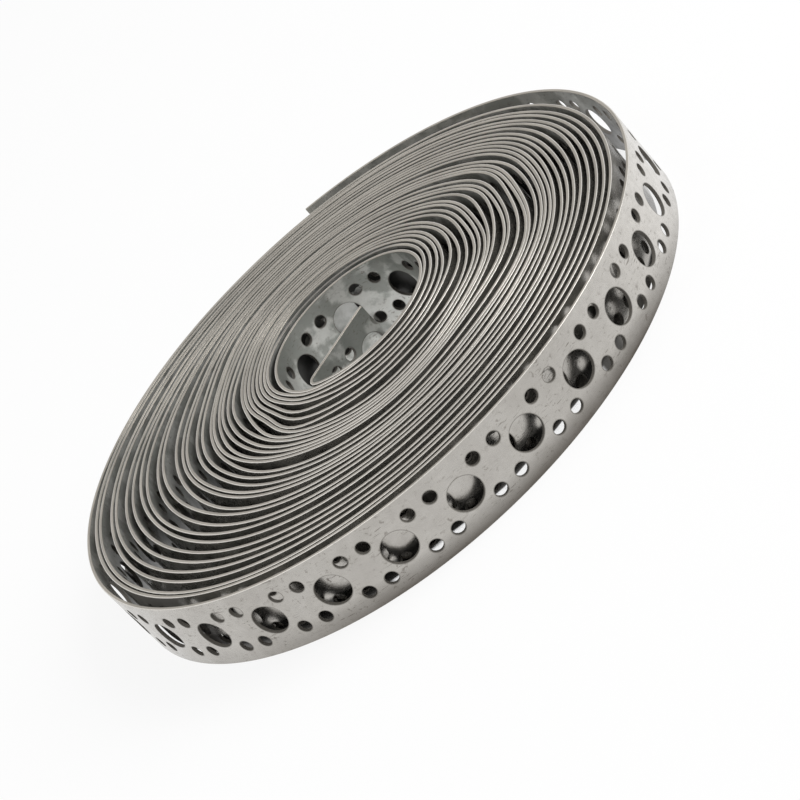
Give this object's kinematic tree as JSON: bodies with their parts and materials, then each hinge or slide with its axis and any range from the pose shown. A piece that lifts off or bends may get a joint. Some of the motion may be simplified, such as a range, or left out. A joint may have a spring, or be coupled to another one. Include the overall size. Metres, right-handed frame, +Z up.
{
  "type": "roll of perforated metal strap",
  "caption": "Roll of galvanised perforated steel strap, wound flat with a loose outer turn and a bent tail across its bore.",
  "frame": {"origin": "on the floor under the roll, on the axis of the circle that the outermost turn follows", "axes": "+Z up along the roll's axis, across the strap's width; +X towards the side where the loose outer turn stands furthest off the pack; +Y towards the side where the outer turn is cut off"},
  "size_m": [0.1682, 0.1674, 0.02],
  "materials": {
    "galvanised_steel": "satin hot-dip zinc, faintly mottled, with brighter cut edges"
  },
  "bodies": {
    "root": {"perforated_strap": "galvanised_steel"}
  },
  "joints": []
}
